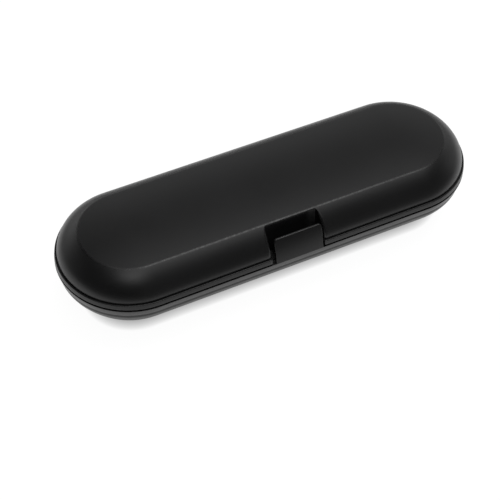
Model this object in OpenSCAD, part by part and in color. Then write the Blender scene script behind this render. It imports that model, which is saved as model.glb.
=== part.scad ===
/* [Overall] */
// Length of the closed case, end to end
case_l = 210; // [175:1:260]
// Width of the closed case across its rims, without the hinge barrels
case_w = 70; // [66:1:90]
// Height of the base, from the table to the top of its rim
base_h = 26.6; // [25:0.2:36]
// Height of the lid, from the base's rim to the top of the dome
lid_h = 18.4; // [17.4:0.2:24]
// Wall thickness of both shells
wall_t = 1.8; // [1.4:0.1:2.2]

/* [Lid form] */
// Height of the lid's upright flange above the parting plane
flange_h = 3.7; // [3.4:0.1:4.6]
// Width of the flat ledge on top of the flange
ledge_w = 1.45; // [1:0.05:2]
// Width of the groove at the foot of the lid's wall
groove_w = 0.5; // [0.3:0.05:0.8]
// Depth of that groove
groove_d = 0.4; // [0.2:0.05:0.6]
// How far the soft crease round the lid's top lies inside the outline
crease_in = 11.4; // [9.5:0.1:14]
// How far the crease's bend is spread, to each side of it
crease_soft = 1.6; // [0.8:0.1:2]
// How much the lid's top rises from the crease to its centre line
dome_rise = 1.9; // [0.8:0.1:2.6]
// Height of the shadow gap between the two rims
reveal_h = 0.8; // [0.4:0.1:1]
// Depth of the shadow gap
reveal_d = 1.0; // [0.5:0.1:1.2]

/* [Base form] */
// Height of the rim band round the top of the base
rim_h = 2.8; // [2.4:0.1:4]
// Inward lean of the rim band towards its lower edge
rim_lean = 0.35; // [0:0.05:0.8]
// Step from the rim band in to the wall below it
rim_step = 1.1; // [0.6:0.1:1.5]
// How far the edge of the flat underside lies inside the outline
foot_in = 17.6; // [15:0.2:20]
// Height of the tongue that stands inside the lid's rim
tongue_h = 1.5; // [1:0.1:2.4]
// Thickness of the tongue
tongue_t = 1.1; // [0.8:0.1:1.4]
// Gap between the tongue and the lid's rim
tongue_gap = 0.35; // [0.35:0.05:0.6]

/* [Latch] */
// Width of the latch tab
tab_w = 24.6; // [18:0.2:30]
// Height of the tab above the base's rim
tab_h = 11.6; // [9.6:0.2:12.4]
// Thickness of the tab
tab_t = 1.8; // [1.4:0.1:2.2]
// How far the tab's top edge leans in from the outline
tab_lean = 3.9; // [3:0.1:4.6]
// Radius of the tab's two top corners
tab_corner_r = 2.4; // [1:0.1:4]
// Gap between each side of the tab and the lid's notch
tab_side_gap = 1.3; // [0.6:0.1:2]
// Depth of the thumb recess, from the outline to its back wall
recess_depth = 10.7; // [9.8:0.1:11.2]
// Radius of the recess's two back corners
recess_corner_r = 2; // [0.5:0.1:2.5]
// Lean of the recess's back wall over its height
recess_lean = 1.5; // [0.5:0.1:2]
// Width of the catch rib that the tab's hook sits over
catch_w = 18; // [10:0.5:22]
// Gap between the hook and the catch
catch_gap = 0.15; // [0.1:0.05:0.3]

/* [Hinge] */
// Outer radius of the hinge barrels
barrel_r = 2.3; // [2.1:0.1:2.8]
// Radius of each steel hinge pin
pin_r = 0.75; // [0.6:0.05:1]
// Running clearance of the lid's barrels on the pins
pin_gap = 0.05; // [0.03:0.01:0.09]
// Distance of each hinge's middle from the end of the straight back edge
hinge_inset = 28; // [16:1:34]
// Length of the lid's barrel in each hinge
lid_barrel_l = 9.4; // [7:0.2:14]
// Length of each of the base's two barrels in each hinge
base_barrel_l = 7; // [5:0.2:10]
// End gap between neighbouring barrels
barrel_gap = 0.3; // [0.2:0.05:0.5]
// Gap round a barrel where the other rim is notched for it
barrel_notch_gap = 0.35; // [0.25:0.05:0.5]
// Angle at which the open lid stops
open_angle = 120; // [115:1:128]

/* [Holder tray] */
// Thickness of the tray
tray_t = 1.3; // [1:0.1:1.6]
// Depth of the tray's deck below the parting plane
deck_drop = 2.4; // [2:0.1:3]
// Gap between the tray and the base's wall
tray_gap = 0.6; // [0.4:0.05:0.8]
// Distance of the handle trough's ends from the ends of the case
trough_inset = 17; // [16:0.5:26]
// Distance of the trough's axis from the case's centre line, to the hinge side
trough_y = 9.5; // [9:0.1:10.5]
// Radius of the toothbrush handle that the saddle ribs hold
handle_r = 13; // [10.5:0.1:13.5]
// Room between the handle and the wall of its trough
handle_room = 1.5; // [1:0.1:1.6]
// Thickness of the saddle ribs
saddle_t = 1.6; // [1.2:0.1:2.4]
// Distance of the brush head pockets' outer ends from the ends of the case
pocket_inset = 20; // [19:0.5:28]
// Distance between the two pockets
pocket_gap = 10; // [8:0.5:20]
// Width of each brush head pocket
pocket_w = 15; // [14:0.2:15.4]
// Depth of each brush head pocket below the deck
pocket_d = 10.5; // [8:0.1:11]
// Radius of the brush head's neck that the pocket clips hold
neck_r = 3.6; // [3:0.1:4.4]

/* [Hidden] */
$fn = 96;
eps = 0.01;
shell_color = "#1d1d1f";
tray_color = "#29292c";
steel_color = "#b9bcc0";

end_r = case_w / 2;
straight = case_l / 2 - end_r;
total_h = base_h + lid_h;
crease_z = total_h - dome_rise;
curve_steps = 14;
dome_steps = 8;
// Small bevels: on both rims beside the shadow gap, on top of the flange, under the rim band, on the tongue
seam_bevel = 0.25;
flange_bevel = 0.35;
band_bevel = 0.3;
tongue_bevel = 0.3;

// A point on a cubic curve through four control points
function cubic(p, t) =
    pow(1 - t, 3) * p[0] + 3 * pow(1 - t, 2) * t * p[1] + 3 * (1 - t) * t * t * p[2] + pow(t, 3) * p[3];
// The curve's direction at the same place
function cubic_dir(p, t) =
    3 * pow(1 - t, 2) * (p[1] - p[0]) + 6 * (1 - t) * t * (p[2] - p[1]) + 3 * t * t * (p[3] - p[2]);
// A point set off from the curve by d, to the right of its direction
function cubic_off(p, t, d) =
    let (v = cubic_dir(p, t))
    cubic(p, t) + d / norm(v) * [v[1], -v[0]];
function reversed(list) = [for (i = [len(list) - 1:-1:0]) list[i]];

// The lid's outer wall, from its foot up to the crease, as distance from the centre line and height.
// Two pulls, one from each end, make it convex.
lid_foot = [end_r - ledge_w, base_h + flange_h];
lid_foot_pull = [0.18, 4.9];
lid_crease = [end_r - crease_in, crease_z];
lid_crease_pull = [5.3, -2.4];
lid_wall = [lid_foot, lid_foot + lid_foot_pull, lid_crease + lid_crease_pull, lid_crease];
// The lid's domed top, from the crease to the centre line
function dome_z(r, drop) = total_h - drop - dome_rise * pow(r / lid_crease[0], 2);
function dome_r(i) = lid_crease[0] * (1 - i / dome_steps);
lid_dome = [for (i = [1:dome_steps]) [dome_r(i), dome_z(dome_r(i), 0)]];
// The bend between wall and dome, from a point on the one to a point on the other
soft_steps = 5;
soft_start = cubic(lid_wall, 1 - crease_soft / norm(cubic_dir(lid_wall, 1)));
soft_end = [lid_crease[0] - crease_soft, dome_z(lid_crease[0] - crease_soft, 0)];
lid_bend = [
    for (i = [0:soft_steps]) let (t = i / soft_steps)
        pow(1 - t, 2) * soft_start + 2 * (1 - t) * t * lid_crease + t * t * soft_end
];

// The base's outer wall, from under the rim band down to the round above the underside
under_rim = [end_r - rim_lean - rim_step, base_h - rim_h];
under_rim_pull = [-0.1, -6.6];
foot_edge = [end_r - foot_in, 0];
foot_top = foot_edge + [3.2, 2.6];
foot_top_pull = [4.2, 6];
base_wall = [under_rim, under_rim + under_rim_pull, foot_top + foot_top_pull, foot_top];
foot_round = [foot_top, foot_edge + [1.9, 0.9], foot_edge + [1.1, 0], foot_edge];
foot_steps = 5;

lid_outer = concat(
    [
        [end_r - reveal_d, base_h],
        [end_r - reveal_d, base_h + reveal_h],
        [end_r - seam_bevel, base_h + reveal_h],
        [end_r, base_h + reveal_h + seam_bevel],
        [end_r, lid_foot[1] - flange_bevel],
        [end_r - flange_bevel, lid_foot[1]],
        lid_foot + [groove_w, 0],
        lid_foot + [groove_w, -groove_d],
        lid_foot - [0, groove_d]
    ],
    [for (i = [0:curve_steps - 2]) cubic(lid_wall, i / curve_steps)],
    lid_bend,
    lid_dome
);
flange_saving = 0.9;
flange_roof = 0.8;
flange_t = ledge_w + wall_t - flange_saving;
lid_inner = concat(
    [
        [end_r - flange_t, base_h],
        [end_r - flange_t, lid_foot[1] - flange_roof]
    ],
    [for (i = [1:curve_steps]) cubic_off(lid_wall, i / curve_steps, -wall_t)],
    [for (i = [2:dome_steps]) [dome_r(i), dome_z(dome_r(i), wall_t)]]
);

base_outer = concat(
    [
        [end_r - seam_bevel, base_h],
        [end_r, base_h - seam_bevel],
        [end_r - rim_lean, under_rim[1] + band_bevel],
        [end_r - rim_lean - band_bevel, under_rim[1]]
    ],
    [for (i = [0:curve_steps]) cubic(base_wall, i / curve_steps)],
    [for (i = [1:foot_steps]) cubic(foot_round, i / foot_steps)],
    [[0, 0]]
);
tongue_r = end_r - flange_t - tongue_gap;
base_inner = concat(
    [
        [tongue_r, base_h],
        [tongue_r, base_h + tongue_h - tongue_bevel],
        [tongue_r - tongue_bevel, base_h + tongue_h],
        [tongue_r - tongue_t, base_h + tongue_h],
        [tongue_r - tongue_t, base_h - rim_h]
    ],
    [for (i = [2:curve_steps]) cubic_off(base_wall, i / curve_steps, wall_t)],
    [for (i = [2:foot_steps - 1]) cubic_off(foot_round, i / foot_steps, wall_t)],
    [[0, wall_t]]
);

// A body whose cross-section is the same all round the stadium outline. Points are [distance, height] from
// the outline's centre line, and the list runs between two points on that line.
module stadium_body(points) {
    mirrored = [for (p = reversed(points)) if (p[0] > 0) [-p[0], p[1]]];
    rotate([90, 0, 90])
        linear_extrude(height = 2 * straight, center = true) polygon(concat(points, mirrored));
    for (side = [0, 1])
        mirror([side, 0, 0])
            translate([straight, 0, 0])
                rotate([0, 0, -90]) rotate_extrude(angle = 180) polygon(points);
}

// A plate of stadium outline with half-width r, between two heights
module stadium_plate(r, z_low, z_high) {
    translate([0, 0, z_low]) linear_extrude(height = z_high - z_low) {
        square([2 * straight, 2 * r], center = true);
        for (side = [-1, 1]) translate([side * straight, 0]) circle(r);
    }
}

// An extrusion of width w along the case, from points given as [y, z]
module across(points, w, x = 0) {
    translate([x, 0, 0]) rotate([90, 0, 90]) linear_extrude(height = w, center = true) polygon(points);
}

// A cylinder along the case, on the axis at y, z
module rod(r, w, x, y, z) {
    translate([x, y, z]) rotate([0, 90, 0]) cylinder(r = r, h = w, center = true);
}

// The space inside the outlines of the two shells, filled
module base_filled() {
    stadium_body(concat(reversed(base_outer), [[0, base_h]]));
}
module lid_filled() {
    stadium_body(concat(reversed(lid_outer), [[0, base_h]]));
}

// ---- Hinge ----
hinge_x = straight - hinge_inset;
hinge_y = end_r;
hinge_z = base_h;
hinge_l = lid_barrel_l + 2 * barrel_gap + 2 * base_barrel_l;
base_barrel_x = (lid_barrel_l + base_barrel_l) / 2 + barrel_gap;
base_notch_l = base_barrel_l + 2 * barrel_gap;
lid_notch_l = lid_barrel_l + 2 * barrel_gap;
notch_r = barrel_r + barrel_notch_gap;
// The shoulder on the base's barrels that stops the open lid: how far it stands out, and its play in degrees
stop_step = 0.35;
stop_play = 1.5;
stop_r = notch_r + stop_step;
stop_angle = open_angle + stop_play;
base_gusset_root = 2.2;
base_gusset_foot = 1.2;
base_gusset_low = hinge_z - rim_h - 2.6;
base_gusset = [
    [hinge_y - base_gusset_root, hinge_z],
    [hinge_y, hinge_z],
    [hinge_y + stop_r * sin(stop_angle), hinge_z + stop_r * cos(stop_angle)],
    [hinge_y - base_gusset_foot, base_gusset_low],
    [hinge_y - base_gusset_root, base_gusset_low]
];
lid_gusset_root = 1;
lid_gusset_rise = 1.1;
lid_gusset_top = hinge_z + flange_h - flange_bevel;
lid_gusset = [
    [hinge_y - lid_gusset_root, hinge_z],
    [hinge_y + barrel_r, hinge_z],
    [hinge_y + barrel_r, hinge_z + lid_gusset_rise],
    [hinge_y, lid_gusset_top],
    [hinge_y - lid_gusset_root, lid_gusset_top]
];
pin_inset = 0.6;
pin_l = hinge_l - 2 * pin_inset;

// One barrel with the gusset that carries it
module barrel(gusset, w, x) {
    rod(barrel_r, w, x, hinge_y, hinge_z);
    across(gusset, w, x);
}

module hinge_pin(x) {
    color(steel_color)
        translate([x - pin_l / 2, hinge_y, hinge_z]) rotate([0, 90, 0]) cylinder(r = pin_r, h = pin_l);
}
module hinge_pin_left() {
    hinge_pin(-hinge_x);
}
module hinge_pin_right() {
    hinge_pin(hinge_x);
}

// ---- Latch ----
// The tab's face stands upright at its root and bends inwards. The two middle points are shares of its lean
// and height, and the last leaves room for the round of the top edge.
tab_root_share = 0.44;
tab_bend_share = [0.42, 0.72];
tab_edge_room = [0.5, 0.7];
tab_face = [
    [-end_r, base_h],
    [-end_r, base_h + tab_root_share * tab_h],
    [-end_r + tab_bend_share[0] * tab_lean, base_h + tab_bend_share[1] * tab_h],
    [-end_r + tab_lean - tab_edge_room[0], base_h + tab_h - tab_edge_room[1]]
];
tab_steps = 12;
tab_top = cubic_off(tab_face, 1, tab_t / 2);
tab_top_angle = atan2(cubic_dir(tab_face, 1)[1], cubic_dir(tab_face, 1)[0]);
tab_profile = concat(
    [for (i = [0:tab_steps]) cubic(tab_face, i / tab_steps)],
    [for (a = [75:-15:-75]) tab_top + tab_t / 2 * [cos(tab_top_angle + a), sin(tab_top_angle + a)]],
    [for (i = [tab_steps:-1:0]) cubic_off(tab_face, i / tab_steps, tab_t)]
);
hook_y = tab_top[0] + tab_t / 2;
ledge_z = base_h + flange_h;
hook_low = ledge_z + 0.25;
hook_nose = 0.55;
hook_slope = 2.95;
hook_root = 0.4;
hook = [
    [-end_r + tab_t - hook_root, hook_low],
    [hook_y, hook_low],
    [hook_y, hook_low + hook_nose],
    [-end_r + tab_t + hook_root, hook_low + hook_slope]
];
catch_y = hook_y + catch_gap;
recess_x = tab_w / 2 + tab_side_gap;
recess_wall = 1.6;
recess_top_y = -end_r + recess_depth;
recess_low_y = recess_top_y - recess_lean;
recess_angle = atan(recess_lean / (crease_z - base_h));
recess_back = [
    [-end_r, base_h],
    [recess_low_y + recess_wall, base_h],
    [recess_top_y + recess_wall, crease_z],
    [recess_top_y + recess_wall, total_h],
    [-end_r, total_h]
];
catch_nose = 0.9;
catch_slope = 2.6;
catch = [
    [catch_y, ledge_z],
    [catch_y, ledge_z - catch_nose],
    [recess_low_y + 0.3, ledge_z - catch_slope],
    [recess_low_y + 0.8, ledge_z]
];

// The space of the recess, leaning with its back wall, whose two corners are round
module recess_space() {
    deep = end_r / 2;
    translate([0, recess_low_y, base_h]) rotate([-recess_angle, 0, 0])
        translate([0, 0, -lid_h / 4]) linear_extrude(height = 1.5 * lid_h) {
            translate([-recess_x, -deep]) square([2 * recess_x, deep - recess_corner_r]);
            translate([-recess_x + recess_corner_r, -deep]) square([2 * (recess_x - recess_corner_r), deep]);
            for (side = [-1, 1])
                translate([side * (recess_x - recess_corner_r), -recess_corner_r]) circle(recess_corner_r);
        }
}

module latch_tab() {
    color(shell_color) {
        intersection() {
            across(tab_profile, tab_w);
            translate([0, -end_r + tab_lean + tab_t + 2, 0]) rotate([90, 0, 0])
                linear_extrude(height = tab_lean + tab_t + 4) {
                    translate([-tab_w / 2, base_h - 1]) square([tab_w, tab_h + 1 - tab_corner_r]);
                    translate([-tab_w / 2 + tab_corner_r, base_h])
                        square([tab_w - 2 * tab_corner_r, tab_h + 1]);
                    for (side = [-1, 1])
                        translate([side * (tab_w / 2 - tab_corner_r), base_h + tab_h - tab_corner_r])
                            circle(tab_corner_r);
                }
        }
        across(hook, catch_w);
    }
}

// ---- Base ----
deck_top = base_h - deck_drop;
deck_low = deck_top - tray_t;
tray_r = tongue_r - tongue_t - tray_gap;
// The shelf below the lid's recess, which closes its foot, and the gussets under it
landing_x = recess_x + recess_wall + 0.4;
landing_y = recess_low_y + recess_wall + 0.5;
landing_top = base_h - 0.3;
landing_t = 1.4;
gusset_in = 2;
gusset_top = landing_top - landing_t + 0.9;
gusset_low = landing_top - 11;
landing_gusset = [
    [-end_r, gusset_top],
    [landing_y - 0.6, gusset_top],
    [-end_r + 3, gusset_low],
    [-end_r, gusset_low]
];
rib_t = 1.6;
rib_reach = 4.2;
rib_clear = 8.4;
rib_end = 8;
rib_places = [landing_x + rib_clear, straight - rib_end];
// The posts at the ends, each with a stake through the tray that is melted over into a head
post_inset = 10.5;
post_x = case_l / 2 - post_inset;
post_r = 2.4;
stake_r = 1.2;
stake_gap = 0.05;
stake_head_r = 2.1;
stake_head_h = 0.8;
stake_head_taper = 0.6;

// A rib inside the base's wall that the tray's deck rests on
module deck_rib(x, side) {
    inner = tray_r - rib_reach;
    translate([x - rib_t / 2, side > 0 ? inner : -end_r, 1]) cube([rib_t, end_r - inner, deck_low - 1]);
}

module base_shell() {
    color(shell_color) difference() {
        union() {
            difference() {
                stadium_body(concat(reversed(base_outer), base_inner));
                translate([-landing_x, -end_r, base_h]) cube([2 * landing_x, end_r, tongue_h + 1]);
            }
            intersection() {
                base_filled();
                union() {
                    for (x = rib_places) for (end = [-1, 1]) for (side = [-1, 1]) deck_rib(end * x, side);
                    for (side = [-1, 1])
                        translate([side * post_x, 0, 1]) cylinder(r = post_r, h = deck_low - 1);
                    translate([-landing_x, -end_r, landing_top - landing_t])
                        cube([2 * landing_x, end_r + landing_y, landing_t]);
                    for (side = [-1, 1]) across(landing_gusset, rib_t, side * (recess_x - gusset_in));
                }
            }
            for (side = [-1, 1]) translate([side * post_x, 0, deck_low - eps]) {
                cylinder(r = stake_r, h = tray_t + 2 * eps);
                translate([0, 0, tray_t + eps])
                    cylinder(r1 = stake_head_r, r2 = stake_head_r - stake_head_taper, h = stake_head_h);
            }
            for (side = [-1, 1]) for (end = [-1, 1])
                barrel(base_gusset, base_barrel_l, side * hinge_x + end * base_barrel_x);
        }
        for (side = [-1, 1]) {
            rod(notch_r, lid_notch_l, side * hinge_x, hinge_y, hinge_z);
            rod(pin_r, hinge_l + 1, side * hinge_x, hinge_y, hinge_z);
        }
    }
}

// ---- Lid ----
// The ribs that hold the handle down from above stand over the saddle ribs of the tray
saddle_end = 15;
saddle_places = [-straight + saddle_end, 0, straight - saddle_end];
hold_rib_low = base_h + 6.5;
hold_rib_side = handle_r - 1;
hold_gap = 0.6;

module lid_shell() {
    color(shell_color) difference() {
        union() {
            difference() {
                union() {
                    stadium_body(concat(reversed(lid_outer), lid_inner));
                    intersection() {
                        lid_filled();
                        across(recess_back, 2 * (recess_x + recess_wall));
                    }
                    intersection() {
                        lid_filled();
                        for (x = saddle_places)
                            difference() {
                                translate([x - rib_t / 2, trough_y - hold_rib_side, hold_rib_low])
                                    cube([rib_t, 2 * hold_rib_side, total_h]);
                                rod(handle_r + hold_gap, rib_t + 1, x, trough_y, deck_top);
                            }
                    }
                }
                recess_space();
            }
            across(catch, catch_w);
            for (side = [-1, 1]) barrel(lid_gusset, lid_barrel_l, side * hinge_x);
        }
        for (side = [-1, 1]) {
            rod(pin_r + pin_gap, hinge_l + 1, side * hinge_x, hinge_y, hinge_z);
            for (end = [-1, 1])
                rod(notch_r, base_notch_l, side * hinge_x + end * base_barrel_x, hinge_y, hinge_z);
        }
    }
}

// ---- Holder tray ----
trough_r = handle_r + handle_room;
trough_l = case_l - 2 * trough_inset;
pocket_l = case_l / 2 - pocket_inset - pocket_gap / 2;
land_w = 1.6;
pocket_y = trough_y - trough_r - land_w - pocket_w / 2;
pocket_x = (pocket_gap + pocket_l) / 2;
saddle_gap = 0.4;
// The clips in the pockets: a slot narrower than the neck lets it in from above and holds it
clip_inset = 18;
clip_x = pocket_l / 2 - clip_inset;
clip_t = 1.8;
clip_low = deck_top - pocket_d - tray_t / 2;
clip_h = pocket_d - 0.5;
neck_z = deck_top - 4.5;
slot_w = 2 * neck_r - 1;

// The bay in the tray's front edge that goes round the shelf below the recess
bay_x = landing_x + 0.4;
bay_y = landing_y + 0.3;

// A flat-bottomed pocket with round ends, of length l, width w and depth d below the deck
module pocket(l, w, d, top) {
    translate([0, 0, deck_top - d]) linear_extrude(height = d + top) {
        square([l - w, w], center = true);
        for (end = [-1, 1]) translate([end * (l - w) / 2, 0]) circle(d = w);
    }
}

// A trough of radius r for the handle, with rounded ends
module trough(r, l) {
    rod(r, l - 2 * trough_r, 0, trough_y, deck_top);
    for (end = [-1, 1]) translate([end * (l / 2 - trough_r), trough_y, deck_top]) sphere(r);
}

module holder_tray() {
    color(tray_color) difference() {
        union() {
            difference() {
                union() {
                    stadium_plate(tray_r, deck_low, deck_top);
                    intersection() {
                        trough(trough_r + tray_t, trough_l);
                        translate([-case_l, -case_w, 0]) cube([2 * case_l, 2 * case_w, deck_top]);
                    }
                    for (side = [-1, 1]) translate([side * pocket_x, pocket_y, 0])
                        pocket(pocket_l + 2 * tray_t, pocket_w + 2 * tray_t, pocket_d + tray_t, 0);
                }
                trough(trough_r, trough_l);
                for (side = [-1, 1])
                    translate([side * pocket_x, pocket_y, 0]) pocket(pocket_l, pocket_w, pocket_d, 1);
            }
            for (x = saddle_places)
                difference() {
                    rod(trough_r + tray_t / 2, saddle_t, x, trough_y, deck_top);
                    rod(handle_r + saddle_gap, saddle_t + 1, x, trough_y, deck_top);
                    translate([x - 5, -case_w, deck_top - 1]) cube([10, 2 * case_w, case_w]);
                }
            for (side = [-1, 1]) for (end = [-1, 1]) translate([side * pocket_x + end * clip_x, pocket_y, 0])
                difference() {
                    translate([-clip_t / 2, -(pocket_w + tray_t) / 2, clip_low])
                        cube([clip_t, pocket_w + tray_t, clip_h]);
                    rod(neck_r, clip_t + 1, 0, 0, neck_z);
                    translate([-clip_t, -slot_w / 2, neck_z]) cube([2 * clip_t, slot_w, pocket_d]);
                }
        }
        translate([-bay_x, -case_w, deck_low - 1]) cube([2 * bay_x, case_w + bay_y, tray_t + 2]);
        for (side = [-1, 1])
            translate([side * post_x, 0, deck_low - 1]) cylinder(r = stake_r + stake_gap, h = tray_t + 2);
    }
}

base_shell();
holder_tray();
latch_tab();
hinge_pin_left();
hinge_pin_right();
lid_shell();
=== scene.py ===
import math

import bmesh
import bpy
import numpy as np
from mathutils import Matrix, Vector


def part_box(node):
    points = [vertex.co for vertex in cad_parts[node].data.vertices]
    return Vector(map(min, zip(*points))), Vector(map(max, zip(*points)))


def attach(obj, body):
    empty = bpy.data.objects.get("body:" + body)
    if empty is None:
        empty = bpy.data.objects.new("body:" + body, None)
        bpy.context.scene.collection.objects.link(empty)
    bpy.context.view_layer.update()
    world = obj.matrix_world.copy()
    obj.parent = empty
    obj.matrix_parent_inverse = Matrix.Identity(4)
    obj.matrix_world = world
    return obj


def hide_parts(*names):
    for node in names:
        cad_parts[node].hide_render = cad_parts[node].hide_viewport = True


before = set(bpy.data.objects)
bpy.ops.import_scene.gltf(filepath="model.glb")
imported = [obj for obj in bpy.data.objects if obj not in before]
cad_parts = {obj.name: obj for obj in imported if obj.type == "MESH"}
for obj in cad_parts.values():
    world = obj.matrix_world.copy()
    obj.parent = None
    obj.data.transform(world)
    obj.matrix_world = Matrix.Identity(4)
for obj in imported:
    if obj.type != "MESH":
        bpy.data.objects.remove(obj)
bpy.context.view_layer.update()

# ---- Camera ----
# The case is photographed from the front left and above. The camera's place, turn and focal length were
# fitted to the written sizes and the case's outline.
MM = 0.001
IMAGE_SIZE = 500
FOCAL_PIXELS = 1488.4
SENSOR_MM = 36.0
CLIP_START = 0.01
CAMERA_PLACE_MM = (-232.05, -422.48, 548.98)
CAMERA_BACK = Vector((-0.30795, -0.57893, 0.75499)).normalized()
CAMERA_ROLL = 0.03706

level_right = Vector((-CAMERA_BACK.y, CAMERA_BACK.x, 0)).normalized()
level_up = CAMERA_BACK.cross(level_right)
right = math.cos(CAMERA_ROLL) * level_right + math.sin(CAMERA_ROLL) * level_up
up = CAMERA_BACK.cross(right)
camera_turn = Matrix((right, up, CAMERA_BACK)).transposed().to_4x4()
camera = bpy.data.objects.new("camera", bpy.data.cameras.new("camera"))
camera.data.sensor_width = SENSOR_MM
camera.data.lens = FOCAL_PIXELS / IMAGE_SIZE * SENSOR_MM
camera.data.clip_start = CLIP_START
camera.matrix_world = Matrix.Translation(Vector(CAMERA_PLACE_MM) * MM) @ camera_turn
bpy.context.scene.collection.objects.link(camera)
bpy.context.scene.camera = camera
bpy.context.scene.view_settings.view_transform = "Standard"

# ---- Studio light ----
# Soft round lights stand about the table: a small one overhead that runs along the crease, broad ones
# behind the case and at its ends, and little in front. The camera sees plain white behind them.
# Each softbox: its direction, the cosine of the angle from there to its rim, and the level at its middle.
SOFTBOXES = (
    ((0.30, -0.01, 0.954), 0.970, 2.80),
    ((0.18, 0.00, 0.98), 0.81, 1.09),
    ((0.30, 0.20, 0.93), 0.966, 0.24),
    ((0.04, -0.40, 0.92), 0.81, 0.39),
    ((-0.16, -0.46, 0.87), 0.955, 2.60),
    ((-0.04, 0.94, 0.34), 0.81, 0.55),
    ((-0.39, 0.92, 0.07), 0.81, 0.60),
    ((0.49, 0.86, 0.17), 0.81, 0.30),
    ((0.69, 0.58, 0.44), 0.81, 0.38),
    ((0.95, 0.13, 0.27), 0.81, 0.50),
    ((0.90, -0.42, 0.10), 0.81, 0.16),
    ((-0.80, 0.56, 0.23), 0.81, 0.18),
    ((-0.90, -0.30, 0.30), 0.81, 0.05),
    ((0.22, -0.96, 0.20), 0.81, 0.15),
)
ROOM_LEVEL = 0.02
BACKDROP_LEVEL = 1.0


def maths(kind, one, two):
    """One step of arithmetic on two values of a node tree, one of which may be a plain number."""
    tree = (two if isinstance(one, (int, float)) else one).id_data
    node = tree.nodes.new("ShaderNodeMath")
    node.operation = kind
    for socket, value in zip(node.inputs, (one, two)):
        if isinstance(value, (int, float)):
            socket.default_value = value
        else:
            tree.links.new(value, socket)
    return node.outputs["Value"]


def span(value, low, high, to_low, to_high, curve="LINEAR"):
    """The value carried from the range low to high over to another range, and held at its ends."""
    node = value.id_data.nodes.new("ShaderNodeMapRange")
    node.interpolation_type = curve
    for key, number in zip(("From Min", "From Max", "To Min", "To Max"), (low, high, to_low, to_high)):
        node.inputs[key].default_value = number
    value.id_data.links.new(value, node.inputs["Value"])
    return node.outputs["Result"]


def softbox(way_out, direction, rim, level):
    """The light of a soft round patch of the sky: level at its middle, falling smoothly to nothing where the
    cosine of the angle to the middle is rim."""
    along = way_out.id_data.nodes.new("ShaderNodeVectorMath")
    along.operation = "DOT_PRODUCT"
    way_out.id_data.links.new(way_out, along.inputs[0])
    along.inputs[1].default_value = Vector(direction).normalized()
    return span(along.outputs["Value"], rim, 1, 0, level, "SMOOTHERSTEP")


world = bpy.data.worlds.new("studio")
world.use_nodes = True
bpy.context.scene.world = world
sky = world.node_tree
sky_way = sky.nodes.new("ShaderNodeTexCoord").outputs["Generated"]
sky_level = ROOM_LEVEL
for direction, rim, level in SOFTBOXES:
    sky_level = maths("ADD", softbox(sky_way, direction, rim, level), sky_level)
backdrop = sky.nodes.new("ShaderNodeMix")
sky.links.new(sky.nodes.new("ShaderNodeLightPath").outputs["Is Camera Ray"], backdrop.inputs["Factor"])
sky.links.new(sky_level, backdrop.inputs["A"])
backdrop.inputs["B"].default_value = BACKDROP_LEVEL
background = sky.nodes["Background"]
background.inputs["Color"].default_value = (1, 1, 1, 1)
sky.links.new(backdrop.outputs["Result"], background.inputs["Strength"])

# ---- Table ----
# A white table top that the case lies on. To the camera it glows evenly white, with a painted shadow close
# under the
# case: the glow is darkened where the case closes it in, and a little real shadow from its own lit share is
# mixed in.
# The case mirrors a painted pool of light on it, bright near by and dark further off, also darkened by
# painted shadow.
FLOOR_HALF = 3.0
TABLE_COLOR = (0.92, 0.92, 0.92, 1)
TABLE_ROUGHNESS = 0.9
FLOOR_SEEN = 0.84
FLOOR_MIRRORED = 0.89
FLOOR_LEVEL = 1.13
# Reach and strength of the painted shadow under the case, for the camera and in the case's reflections.
CONTACT_SHADOW = 0.005
SHADOW_DEPTH = 0.7
MIRRORED_SHADOW = 0.016
# The painted pool of light that the case mirrors: its middle, its stretch along X, where it fades, and its
# far level.
GLOW_POOL_MIDDLE_Y = 0.04
GLOW_POOL_STRETCH = 3
GLOW_POOL_EDGE = (0.09, 0.19)
FLOOR_FAR = 0.18


def new_material(name):
    """A new material, its node tree and its shader."""
    material = bpy.data.materials.new(name)
    material.use_nodes = True
    return material, material.node_tree, material.node_tree.nodes["Principled BSDF"]


def openness(tree, distance):
    """How open a point is to the space above: 1 in the open, less where the case is within the distance."""
    node = tree.nodes.new("ShaderNodeAmbientOcclusion")
    node.inputs["Distance"].default_value = distance
    return node.outputs["AO"]


floor_mesh = bpy.data.meshes.new("floor")
floor_mesh.from_pydata([
    (x * FLOOR_HALF, y * FLOOR_HALF, 0) for x, y in ((-1, -1), (1, -1), (1, 1), (-1, 1))], [], [(0, 1, 2, 3)])
floor = bpy.data.objects.new("floor", floor_mesh)
bpy.context.scene.collection.objects.link(floor)
table_white, table, table_shader = new_material("table_white")
table_shader.inputs["Base Color"].default_value = TABLE_COLOR
table_shader.inputs["Roughness"].default_value = TABLE_ROUGHNESS
light_path = table.nodes.new("ShaderNodeLightPath")
seen = light_path.outputs["Is Camera Ray"]
mirrored = maths("MAXIMUM", light_path.outputs["Is Glossy Ray"], light_path.outputs["Is Transmission Ray"])
glow_share = maths("ADD", maths("MULTIPLY", seen, FLOOR_SEEN), maths("MULTIPLY", mirrored, FLOOR_MIRRORED))

flatten = table.nodes.new("ShaderNodeMapping")
flatten.inputs["Location"].default_value = (0, -GLOW_POOL_MIDDLE_Y, 0)
flatten.inputs["Scale"].default_value = (1 / GLOW_POOL_STRETCH, 1, 0)
table.links.new(table.nodes.new("ShaderNodeTexCoord").outputs["Object"], flatten.inputs["Vector"])
distance = table.nodes.new("ShaderNodeVectorMath")
distance.operation = "LENGTH"
table.links.new(flatten.outputs["Vector"], distance.inputs[0])
# The glow seen in reflections fades away from the case: a painted pool of light.
fade = span(distance.outputs["Value"], *GLOW_POOL_EDGE, 1, FLOOR_FAR, "SMOOTHSTEP")
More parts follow.
